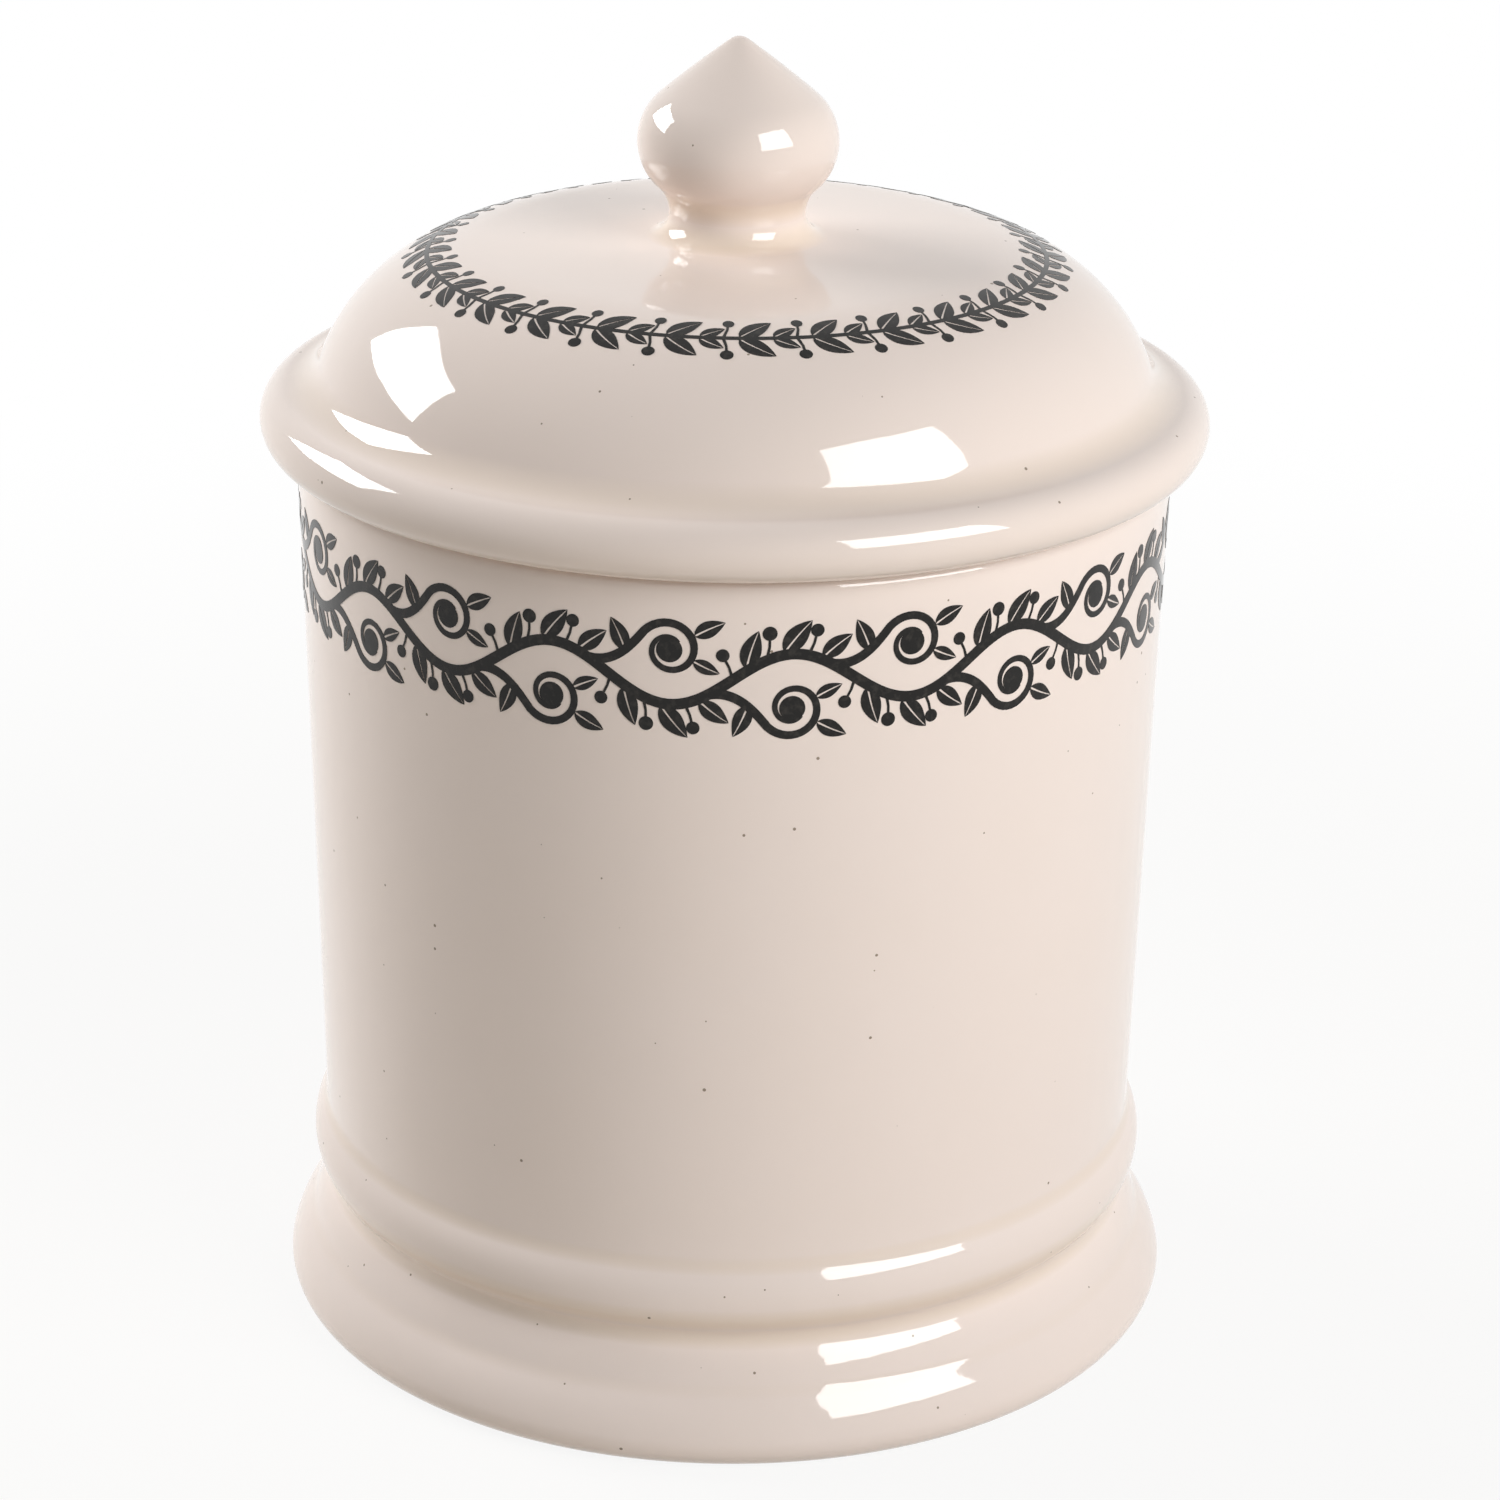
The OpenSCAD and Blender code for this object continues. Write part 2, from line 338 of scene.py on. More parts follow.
def pot_outline():
    """Half outline of the pot, from the axis under the floor round to the axis on the floor."""
    edge = Vector((wall_radius(FOOT_EDGE_R) + FOOT_PROUD - FOOT_EDGE_R, FOOT_EDGE_R))
    face = edge - (FOOT_FACE_R - FOOT_EDGE_R) * unit(FOOT_TURN)
    step = Vector((wall_radius(STEP_Z) + STEP_PROUD - STEP_FACE_R, STEP_Z))
    bead = Vector((wall_radius(BEAD_Z) + BEAD_PROUD - BEAD_R, BEAD_Z))
    groove = joining_centre(face, FOOT_FACE_R, step, STEP_FACE_R, GROOVE_R)
    cove = joining_centre(step, STEP_FACE_R, bead, BEAD_R, COVE_R)
    blend = wall_blend_centre(bead, BEAD_R, BLEND_R)
    ring_in = edge.x - FOOT_RING_W
    rim_low = POT_H - RIM_OUTER_R
    lip_low = POT_H - RIM_INNER_R
    corner_z = FLOOR_Z + INSIDE_CORNER_R
    rim_outer = inside_wall(wall_radius(rim_low), rim_low, RIM_OUTER_R)
    rim_inner = inside_wall(bore_radius(lip_low), lip_low, -RIM_INNER_R)
    corner = inside_wall(bore_radius(corner_z), corner_z, INSIDE_CORNER_R)
    points = [(0.0, RECESS_H, 0.0)]
    recess = (ring_in - RECESS_CORNER_R, RECESS_H - RECESS_CORNER_R)
    points += arc(recess, RECESS_CORNER_R, 90, 0, RECESS_POOL_AND_SHADE)
    points += arc((ring_in + RING_EDGE_R, RING_EDGE_R), RING_EDGE_R, 180, 270)
    points += arc(edge, FOOT_EDGE_R, -90, FOOT_TURN)
    points += arc(face, FOOT_FACE_R, FOOT_TURN, bearing(face, groove))
    points += arc(groove, GROOVE_R, bearing(face, groove) + 180, bearing(step, groove) + 180, GROOVE_POOL_AND_SHADE)
    points += arc(step, STEP_FACE_R, bearing(step, groove), bearing(step, cove))
    points += arc(cove, COVE_R, bearing(step, cove) + 180, bearing(bead, cove) + 180, COVE_POOL_AND_SHADE)
    # The bead's underside, up to just below its widest line, carries painted shade
    points += arc(bead, BEAD_R, bearing(bead, cove), BEAD_SHADE_TURN, BEAD_PAINTED_SHADE)
    points += arc(bead, BEAD_R, BEAD_SHADE_TURN, bearing(bead, blend))
    points += arc(blend, BLEND_R, bearing(bead, blend) + 180, 180 - LEAN_ANGLE, BLEND_POOL_AND_SHADE)
    points += arc(rim_outer, RIM_OUTER_R, -LEAN_ANGLE, 90)
    points += arc(rim_inner, RIM_INNER_R, 90, 180 - LEAN_ANGLE)
    points += arc(corner, INSIDE_CORNER_R, -LEAN_ANGLE, -90, FLOOR_POOL_AND_SHADE)
    points.append((0.0, FLOOR_Z, 0.0))
    return with_short_spans(points)


# The lid's outline, which follows the rim's diameter

FLANGE_EDGE_R = RIM_D / 2 + FLANGE_PROUD
FLANGE_CENTRE = Vector((FLANGE_EDGE_R - FLANGE_R, POT_H + FLANGE_R))
CROWN_CENTRE = Vector((0.0, POT_H + DOME_H - CROWN_R))
SHOULDER_X = FLANGE_EDGE_R - SHOULDER_IN - SHOULDER_R
SHOULDER_CENTRE = Vector((SHOULDER_X, CROWN_CENTRE.y + rise(CROWN_R - SHOULDER_R, SHOULDER_X)))
DIP_CENTRE = joining_centre(FLANGE_CENTRE, FLANGE_R, SHOULDER_CENTRE, SHOULDER_R, DIP_R)
NECK_R = NECK_D / 2
NECK_Z = CROWN_CENTRE.y + rise(CROWN_R + FLARE_R, NECK_R + FLARE_R)
FLARE_CENTRE = Vector((NECK_R + FLARE_R, NECK_Z))


def dome_points():
    """Outer outline of the lid, from its seat on the rim up to the neck of the knob."""
    flange, dip, shoulder, crown = FLANGE_CENTRE, DIP_CENTRE, SHOULDER_CENTRE, CROWN_CENTRE
    points = arc(flange, FLANGE_R, -90, bearing(flange, dip))
    points += arc(dip, DIP_R, bearing(dip, flange) + 360, bearing(dip, shoulder) + 360, DIP_POOL_AND_SHADE)
    points += arc(shoulder, SHOULDER_R, bearing(shoulder, dip), bearing(crown, shoulder))
    points += arc(crown, CROWN_R, bearing(crown, shoulder), bearing(crown, FLARE_CENTRE))
    points += arc(FLARE_CENTRE, FLARE_R, bearing(FLARE_CENTRE, crown) + 360, 180, FLARE_POOL_AND_SHADE)
    return points


def lid_outline():
    """Half outline of the lid, from the axis under its roof round to the axis at the neck."""
    ring_out = bore_radius(POT_H) - RING_GAP
    ring_in = ring_out - RING_T
    ring_low = POT_H - RING_H
    roof_r = CROWN_R - LID_WALL
    corner_x = ring_in - ROOF_CORNER_R
    corner = Vector((corner_x, CROWN_CENTRE.y + rise(roof_r - ROOF_CORNER_R, corner_x)))
    points = arc(CROWN_CENTRE, roof_r, 90, bearing(CROWN_CENTRE, corner))
    points += arc(corner, ROOF_CORNER_R, bearing(CROWN_CENTRE, corner), 0, ROOF_POOL_AND_SHADE)
    points += arc((ring_in + RING_ROUND_R, ring_low + RING_ROUND_R), RING_ROUND_R, 180, 270)
    points += arc((ring_out - RING_ROUND_R, ring_low + RING_ROUND_R), RING_ROUND_R, -90, 0)
    points += arc((ring_out + SEAT_FILLET_R, POT_H - SEAT_FILLET_R), SEAT_FILLET_R, 180, 90)
    points += dome_points()
    points.append((0.0, NECK_Z, 0.0))
    return with_short_spans(points)


# The knob's outline

def knob_outline():
    """Half outline of the knob, from the axis at its neck up to its tip."""
    under = Vector((NECK_R + UNDER_R, NECK_Z))
    bulb_x = KNOB_D / 2 - BULB_R
    bulb = Vector((bulb_x, NECK_Z + rise(BULB_R + UNDER_R, under.x - bulb_x)))
    tip = Vector((0.0, NECK_Z + KNOB_H - TIP_R))
    slope = math.radians(OGEE_SLOPE)
    end_slope = math.radians(TIP_SLOPE)
    leave = bulb + BULB_R * Vector((math.sin(slope), math.cos(slope)))
    reach = tip + TIP_R * Vector((math.sin(end_slope), math.cos(end_slope)))
    handle = OGEE_HANDLE_SHARE * (reach - leave).length
    near = leave + handle * Vector((-math.cos(slope), math.sin(slope)))
    far = reach - handle * Vector((-math.cos(end_slope), math.sin(end_slope)))
    points = [(0.0, NECK_Z, 0.0)]
    points += arc(under, UNDER_R, 180, bearing(under, bulb), NECK_POOL_AND_SHADE)
    points += arc(bulb, BULB_R, bearing(bulb, under), 90 - OGEE_SLOPE)
    for i in range(1, OGEE_STEPS):
        point = cubic(leave, near, far, reach, i / OGEE_STEPS)
        points.append((point.x, point.y, 0.0))
    points += arc(tip, TIP_R, 90 - TIP_SLOPE, 90)
    return with_short_spans(points)


# Node trees

def new_node(tree, kind, **settings):
    """A node of the given kind with its settings."""
    node = tree.nodes.new(kind)
    for name, value in settings.items():
        setattr(node, name, value)
    return node


def feed(tree, target, value):
    """Links another node's output to an input, or types a plain value into it."""
    if isinstance(value, bpy.types.NodeSocket):
        tree.links.new(value, target)
    else:
        target.default_value = value


def maths(tree, operation, *values):
    """A math node's result."""
    node = new_node(tree, "ShaderNodeMath", operation=operation)
    for target, value in zip(node.inputs, values):
        feed(tree, target, value)
    return node.outputs[0]


def new_group(name, kind, inputs, outputs):
    """A node group with named inputs and outputs, and its two end nodes."""
    tree = bpy.data.node_groups.new(name, kind)
    for label, socket, *default in inputs:
        item = tree.interface.new_socket(name=label, in_out="INPUT", socket_type=socket)
        if default:
            item.default_value = default[0]
    for label, socket in outputs:
        tree.interface.new_socket(name=label, in_out="OUTPUT", socket_type=socket)
    return tree, tree.nodes.new("NodeGroupInput"), tree.nodes.new("NodeGroupOutput")


def finish_tree(tree, group_in, group_out, geometry):
    """Ends a geometry tree: instances are made real and the finish is set."""
    real = new_node(tree, "GeometryNodeRealizeInstances")
    finish = new_node(tree, "GeometryNodeSetMaterial")
    feed(tree, real.inputs["Geometry"], geometry)
    feed(tree, finish.inputs["Geometry"], real.outputs["Geometry"])
    feed(tree, finish.inputs["Material"], group_in.outputs["Finish"])
    feed(tree, group_out.inputs[0], finish.outputs["Geometry"])


def lathe_tree():
    """Turns an outline about the Z axis, and carries its share of pooled glaze and painted shade along.
    """
    inputs = [
        ("Outline", "NodeSocketGeometry"), ("Segments", "NodeSocketInt", 64),
        ("Merge gap", "NodeSocketFloat", 0.000002), ("Finish", "NodeSocketMaterial"),
    ]
    tree, group_in, group_out = new_group(
        "turned_form", "GeometryNodeTree", inputs, [("Turned form", "NodeSocketGeometry")]
    )
    outline = group_in.outputs["Outline"]
    count = new_node(tree, "GeometryNodeAttributeDomainSize", component="MESH")
    feed(tree, count.inputs["Geometry"], outline)
    rows = count.outputs["Point Count"]
    grid = new_node(tree, "GeometryNodeMeshGrid")
    feed(tree, grid.inputs["Vertices X"], maths(tree, "ADD", group_in.outputs["Segments"], 1.0))
    feed(tree, grid.inputs["Vertices Y"], rows)
    index = new_node(tree, "GeometryNodeInputIndex").outputs["Index"]
    row = maths(tree, "MODULO", index, rows)
    column = maths(tree, "FLOOR", maths(tree, "DIVIDE", maths(tree, "ADD", index, 0.5), rows))
    place = new_node(tree, "GeometryNodeSampleIndex", data_type="FLOAT_VECTOR", domain="POINT")
    feed(tree, place.inputs["Geometry"], outline)
    feed(tree, place.inputs["Value"], new_node(tree, "GeometryNodeInputPosition").outputs["Position"])
    feed(tree, place.inputs["Index"], row)
    share = maths(tree, "DIVIDE", column, group_in.outputs["Segments"])
    turn = new_node(tree, "ShaderNodeVectorRotate", rotation_type="Z_AXIS")
    feed(tree, turn.inputs["Vector"], place.outputs["Value"])
    feed(tree, turn.inputs["Angle"], maths(tree, "MULTIPLY", share, math.tau))
    mapped = new_node(tree, "GeometryNodeStoreNamedAttribute", data_type="FLOAT2", domain="CORNER")
    feed(tree, mapped.inputs["Geometry"], grid.outputs["Mesh"])
    feed(tree, mapped.inputs["Name"], "UVMap")
    feed(tree, mapped.inputs["Value"], grid.outputs["UV Map"])
    pool_and_shade = new_node(tree, "GeometryNodeInputNamedAttribute", data_type="FLOAT")
    feed(tree, pool_and_shade.inputs["Name"], "pool_and_shade")
    darkening = new_node(tree, "GeometryNodeSampleIndex", data_type="FLOAT", domain="POINT")
    feed(tree, darkening.inputs["Geometry"], outline)
    feed(tree, darkening.inputs["Value"], pool_and_shade.outputs["Attribute"])
    feed(tree, darkening.inputs["Index"], row)
    pooled_and_shaded = new_node(tree, "GeometryNodeStoreNamedAttribute", data_type="FLOAT", domain="POINT")
    feed(tree, pooled_and_shaded.inputs["Geometry"], mapped.outputs["Geometry"])
    feed(tree, pooled_and_shaded.inputs["Name"], "pool_and_shade")
    feed(tree, pooled_and_shaded.inputs["Value"], darkening.outputs["Value"])
    placed = new_node(tree, "GeometryNodeSetPosition")
    feed(tree, placed.inputs["Geometry"], pooled_and_shaded.outputs["Geometry"])
    feed(tree, placed.inputs["Position"], turn.outputs["Vector"])
    merged = new_node(tree, "GeometryNodeMergeByDistance")
    feed(tree, merged.inputs["Geometry"], placed.outputs["Geometry"])
    feed(tree, merged.inputs["Distance"], group_in.outputs["Merge gap"])
    smooth = new_node(tree, "GeometryNodeSetShadeSmooth")
    feed(tree, smooth.inputs["Geometry"], merged.outputs["Geometry"])
    finish_tree(tree, group_in, group_out, smooth.outputs["Geometry"])
    return tree


def ring_tree():
    """Sets copies of one repeat of a border round the Z axis and joins their ends."""
    inputs = [
        ("Repeat", "NodeSocketGeometry"), ("Count", "NodeSocketInt", 12),
        ("Merge gap", "NodeSocketFloat", 0.000002), ("Finish", "NodeSocketMaterial"),
    ]
    tree, group_in, group_out = new_group(
        "border_ring", "GeometryNodeTree", inputs, [("Border", "NodeSocketGeometry")]
    )
    places = new_node(tree, "GeometryNodeMeshLine")
    feed(tree, places.inputs["Count"], group_in.outputs["Count"])
    feed(tree, places.inputs["Offset"], (0.0, 0.0, 0.0))
    index = new_node(tree, "GeometryNodeInputIndex").outputs["Index"]
    share = maths(tree, "DIVIDE", index, group_in.outputs["Count"])
    turn = new_node(tree, "ShaderNodeCombineXYZ")
    feed(tree, turn.inputs["Z"], maths(tree, "MULTIPLY", share, math.tau))
    copies = new_node(tree, "GeometryNodeInstanceOnPoints")
    feed(tree, copies.inputs["Points"], places.outputs["Mesh"])
    feed(tree, copies.inputs["Instance"], group_in.outputs["Repeat"])
    feed(tree, copies.inputs["Rotation"], turn.outputs["Vector"])
    real = new_node(tree, "GeometryNodeRealizeInstances")
    feed(tree, real.inputs["Geometry"], copies.outputs["Instances"])
    merged = new_node(tree, "GeometryNodeMergeByDistance")
    feed(tree, merged.inputs["Geometry"], real.outputs["Geometry"])
    feed(tree, merged.inputs["Distance"], group_in.outputs["Merge gap"])
    smooth = new_node(tree, "GeometryNodeSetShadeSmooth")
    feed(tree, smooth.inputs["Geometry"], merged.outputs["Geometry"])
    finish_tree(tree, group_in, group_out, smooth.outputs["Geometry"])
    return tree


def made_by_tree(name, start_mesh, tree, values):
    """Runs a geometry tree on a start mesh and keeps the result as a plain mesh object."""
    piece = bpy.data.objects.new(name, start_mesh)
    bpy.context.scene.collection.objects.link(piece)
    modifier = piece.modifiers.new("form", "NODES")
    modifier.node_group = tree
    for item in tree.interface.items_tree:
        if item.in_out == "INPUT" and item.name in values:
            modifier[item.identifier] = values[item.name]
    evaluated = piece.evaluated_get(bpy.context.evaluated_depsgraph_get())
    result = bpy.data.meshes.new_from_object(evaluated)
    piece.modifiers.clear()
    piece.data = result
    result.name = name
    face_outwards(result)
    result.set_sharp_from_angle(angle=SHARP_ANGLE)
    return piece


def face_outwards(mesh):
    """Turns every face outwards and drops faces that closed up at a pole."""
    work = bmesh.new()
    work.from_mesh(mesh)
    bmesh.ops.dissolve_degenerate(work, dist=MERGE_GAP * MM, edges=work.edges[:])
    bmesh.ops.recalc_face_normals(work, faces=work.faces[:])
    if work.calc_volume(signed=True) < 0:
        bmesh.ops.reverse_faces(work, faces=work.faces[:])
    work.to_mesh(mesh)
    work.free()


def turned_form(name, outline, segments, finish, tree):
    """A form turned about the Z axis from its half outline."""
    start = bpy.data.meshes.new(name + "_outline")
    places = [(r * MM, 0.0, z * MM) for r, z, darkening in outline]
    start.from_pydata(places, [(i, i + 1) for i in range(len(places) - 1)], [])
    # Each outline point keeps its share of pooled glaze and painted shade
    darkenings = start.attributes.new("pool_and_shade", "FLOAT", "POINT")
    darkenings.data.foreach_set("value", [darkening for r, z, darkening in outline])
    values = {"Segments": segments, "Merge gap": MERGE_GAP * MM, "Finish": finish}
    return made_by_tree(name, start, tree, values)


# Flat shapes of the printed borders, in millimetres along and across the band

def leaf(base, heading, length, width, bend):
    """The two blades of a leaf, with a light rib left between them."""
    steps = 12
    early_power = 0.82
    round_power = 0.85
    rib_half = 0.1
    rib_taper = 0.6
    rib_share = 0.35
    along = unit(heading)
    side = unit(heading + 90)
    blades = []
    for sign in (1, -1):
        inner = []
        outer = []
        for i in range(steps + 1):
            share = i / steps
            half = 0.0
            if 0 < i < steps:
                half = 0.5 * width * math.sin(math.pi * share ** early_power) ** round_power
            gap = min(rib_half * (1 - rib_taper * share), rib_share * half)
            spine = Vector(base) + along * length * share + side * bend * length * share ** 2
            across = (side - along * 2 * bend * share).normalized() * sign
            inner.append(spine + across * gap)
            outer.append(spine + across * half)
        blades.append(inner + outer[-2:0:-1])
    return blades


def ribbon(points, widths):
    """A band along points, as wide as given at each of them."""
    left = []
    right = []
    last = len(points) - 1
    for i, (point, width) in enumerate(zip(points, widths)):
        ahead = points[min(i + 1, last)] - points[max(i - 1, 0)]
        across = Vector((-ahead.y, ahead.x)).normalized() * width / 2
        left.append(point + across)
        right.append(point - across)
    return left + right[::-1]


def disc(centre, radius, sides=18):
    """A round dot."""
    return [Vector(centre) + radius * unit(360 * i / sides) for i in range(sides)]


def berry(base, heading, length, radius):
    """A dot on a short bent stalk."""
    sag = Vector((0.12, 0.0))
    widths = [0.3, 0.24, 0.24]
    foot = Vector(base)
    top = foot + length * unit(heading)
    middle = (foot + top) / 2 + sag
    return [ribbon([foot, middle, top], widths), disc(top, radius)]


def mirrored(shape, shift=0.0):
    """The shape turned upside down and moved along the band."""
    return [Vector((point.x + shift, -point.y)) for point in shape]


VINE_RADIUS = wall_radius(VINE_MIDDLE_Z)
VINE_HALF_WAVE = math.pi * VINE_RADIUS / VINE_REPEATS
SPRIG_WIDTH = math.tau * SPRIG_MIDDLE_R / SPRIG_REPEATS


def vine_height(x):
    """Height of the vine's stem along the band."""
    return VINE_WAVE * math.sin(math.pi * x / VINE_HALF_WAVE)


def vine_stem():
    """One whole wave of the stem."""
    lower = []
    upper = []
    for i in range(VINE_STEM_STEPS + 1):
        x = VINE_START + 2 * VINE_HALF_WAVE * i / VINE_STEM_STEPS
        slope = VINE_WAVE * math.pi / VINE_HALF_WAVE * math.cos(math.pi * x / VINE_HALF_WAVE)
        half = VINE_STEM_HALF * math.hypot(1, slope)
        lower.append(Vector((x, vine_height(x) - half)))
        upper.append(Vector((x, vine_height(x) + half)))
    return lower + upper[::-1]


def tendril():
    """The curl that fills the hollow of a half wave, with a large berry at its heart."""
    heart = Vector((5.5, -2.75))
    heart_r = 1.2
    heart_sides = 24
    outer_r = 2.85
    inner_r = 1.1
    entry = 218.0
    turns = 1.28
    tightening = 0.9
    foot_x = -1.9
    foot_depth = 0.1
    foot_heading = 8.0
    foot_handle = 2.4
    entry_handle = 2.0
    foot_width = 0.95
    taper = 0.6
    lead_steps = 14
    curl_steps = 44
    start = Vector((foot_x, vine_height(foot_x) - foot_depth))
    arrive = heart + outer_r * unit(entry)
    near = start + foot_handle * unit(foot_heading)
    far = arrive - entry_handle * unit(entry + 90)
    points = [cubic(start, near, far, arrive, i / lead_steps) for i in range(lead_steps)]
    for i in range(curl_steps + 1):
        share = i / curl_steps
        radius = outer_r + (inner_r - outer_r) * share ** tightening
        points.append(heart + radius * unit(entry + 360 * turns * share))
    last = len(points) - 1
    widths = [foot_width * (1 - taper * i / last) for i in range(len(points))]
    return [ribbon(points, widths), disc(heart, heart_r, heart_sides)]


def vine_half():
    """All that grows from one half wave of the vine."""
    shapes = tendril()
    for foot, heading, length, width, bend in TENDRIL_LEAVES:
        shapes += leaf(foot, heading, length, width, bend)
    for x, heading, length, width in STEM_LEAVES:
        shapes += leaf((x, vine_height(x) + STEM_LEAF_ROOT), heading, length, width, STEM_LEAF_BEND)
    for x, heading, length, radius in STEM_BERRIES:
        shapes += berry((x, vine_height(x)), heading, length, radius)
    return shapes


def vine_repeat():
    """One wave of the vine: the lower half is the upper one turned upside down."""
    half = vine_half()
    return [vine_stem()] + half + [mirrored(shape, VINE_HALF_WAVE) for shape in half]


def sprig_repeat():
    """One repeat of the sprig: two pairs of leaves and a pair of berries on a plain stem."""
    steps = SPRIG_STEM_STEPS
    stem = [Vector((SPRIG_WIDTH * i / steps, -SPRIG_STEM_HALF)) for i in range(steps + 1)]
    stem += [Vector((SPRIG_WIDTH * (steps - i) / steps, SPRIG_STEM_HALF)) for i in range(steps + 1)]
    half = []
    for foot, heading, length, width, bend in SPRIG_LEAVES:
        half += leaf(foot, heading, length, width, bend)
    half += berry(*SPRIG_BERRY)
    return [stem] + half + [mirrored(shape) for shape in half]


# Borders laid on the turned forms

def counter_clockwise(shape):
    """The shape with its points in counter-clockwise order."""
    area = sum(a.x * b.y - b.x * a.y for a, b in zip(shape, shape[1:] + shape[:1]))
    return shape if area > 0 else shape[::-1]


def joined_flat(shapes):
    """The union of flat shapes as points and triangles, cut along a grid so that it can be bent."""
    points = []
    faces = []
    edges = []
    for shape in shapes:
        first = len(points)
        points += counter_clockwise(shape)
        faces.append(list(range(first, len(points))))
    low = Vector((min(p.x for p in points), min(p.y for p in points)))
    high = Vector((max(p.x for p in points), max(p.y for p in points)))
    for axis in (0, 1):
        lines = math.floor((high[axis] - low[axis]) / PRINT_GRID)
        for i in range(1, lines + 1):
            start = low.copy()
            end = high.copy()
            start[axis] = low[axis] + i * PRINT_GRID
            end[axis] = start[axis]
            edges.append((len(points), len(points) + 1))
            points += [start, end]
    flat, _, triangles, _, _, owners = delaunay_2d_cdt(points, edges, faces, 0, CUT_PRECISION)
    return flat, [tri for tri, owner in zip(triangles, owners) if owner]


def on_seam(start, end, seams):
    """Whether an edge of a flat shape lies where two repeats of its border meet."""
    return any(abs(start.x - x) < MERGE_GAP and abs(end.x - x) < MERGE_GAP for x in seams)


def laid_border(name, shapes, lay, seams, count, finish, tree):
    """One repeat of a border laid on a surface with a little thickness, then set round the form."""
    flat, triangles = joined_flat(shapes)
    used = sorted({i for tri in triangles for i in tri})
    order = {old: new for new, old in enumerate(used)}
    top = [lay(flat[i].x, flat[i].y, PRINT_LIFT) for i in used]
    bottom = [lay(flat[i].x, flat[i].y, -PRINT_SINK) for i in used]
    below = len(used)
    faces = []
    rims = set()
    for tri in triangles:
        a, b, c = (order[i] for i in tri)
        faces += [(a, b, c), (c + below, b + below, a + below)]
        rims.update(((tri[0], tri[1]), (tri[1], tri[2]), (tri[2], tri[0])))
    for start, end in sorted(rims):
        if (end, start) not in rims and not on_seam(flat[start], flat[end], seams):
            a, b = order[start], order[end]
            faces.append((b, a, a + below, b + below))
    start_mesh = bpy.data.meshes.new(name + "_repeat")
    start_mesh.from_pydata([p * MM for p in top + bottom], [], faces)
    values = {"Count": count, "Merge gap": REPEAT_GAP * MM, "Finish": finish}
    return made_by_tree(name, start_mesh, tree, values)


def on_wall(x, y, lift):
    """Place of a border's point on the pot's wall: zero along the band faces the front."""
    angle = x / VINE_RADIUS - math.pi / 2
    z = VINE_MIDDLE_Z + y
    radius = wall_radius(z) + lift
    return Vector((radius * math.cos(angle), radius * math.sin(angle), z))


def on_dome(x, y, lift):
    """Place of a border's point on the dome: across the band it runs up the outline."""
    angle = x / SPRIG_MIDDLE_R - math.pi / 2
    place, normal = DOME_TRACK.at(DOME_TRACK.length_at_radius(SPRIG_MIDDLE_R) + y)
    radius = place.x + normal.x * lift
    return Vector((radius * math.cos(angle), radius * math.sin(angle), place.y + normal.y * lift))


class Track:
    """An outline that can be asked for the place and the outward direction at a length along it."""

    def __init__(self, points):
        self.points = [Vector(point[:2]) for point in points]
        self.lengths = [0.0]
        for before, after in zip(self.points, self.points[1:]):
            self.lengths.append(self.lengths[-1] + (after - before).length)

    def length_at_radius(self, radius):
        """Length along the outline where it comes in to a radius, counted from its outer end."""
        for i in range(len(self.points) - 1, 0, -1):
            outer, inner = self.points[i - 1].x, self.points[i].x
            if inner <= radius < outer:
                share = (outer - radius) / (outer - inner)
                return self.lengths[i - 1] + share * (self.lengths[i] - self.lengths[i - 1])
        raise ValueError("the outline doesn't reach this radius")

    def at(self, length):
        """Place and outward direction at a length."""
        i = max(k for k, reached in enumerate(self.lengths[:-1]) if reached <= length)
        ahead = self.points[i + 1] - self.points[i]
        share = (length - self.lengths[i]) / ahead.length
        return self.points[i] + share * ahead, Vector((ahead.y, -ahead.x)).normalized()


DOME_TRACK = Track([point for point in dome_points() if point[1] > POT_H + FLANGE_R])


# Finishes

def position(tree):
    """Place on the object, in metres."""
    return new_node(tree, "ShaderNodeTexCoord").outputs["Object"]


def ripple_group():
    """Height of the glaze: a slow waviness, and a fine ripple towards the foot."""
    inputs = [
        ("Position", "NodeSocketVector"), ("Slow size", "NodeSocketFloat", 0.009),
        ("Fine size", "NodeSocketFloat", 0.0011), ("Fine share", "NodeSocketFloat", 0.1),
    ]
    tree, group_in, group_out = new_group(
        "glaze_ripple", "ShaderNodeTree", inputs, [("Height", "NodeSocketFloat")]
    )
    heights = []
    for size, detail in (("Slow size", 1.0), ("Fine size", 2.0)):
        noise = new_node(tree, "ShaderNodeTexNoise", noise_dimensions="3D")
        feed(tree, noise.inputs["Vector"], group_in.outputs["Position"])
        feed(tree, noise.inputs["Scale"], maths(tree, "DIVIDE", 1.0, group_in.outputs[size]))
        noise.inputs["Detail"].default_value = detail
        noise.inputs["Roughness"].default_value = RIPPLE_NOISE_ROUGHNESS
        heights.append(noise.outputs["Fac"])
    fine = maths(tree, "MULTIPLY", heights[1], group_in.outputs["Fine share"])
    feed(tree, group_out.inputs["Height"], maths(tree, "ADD", heights[0], fine))
    return tree


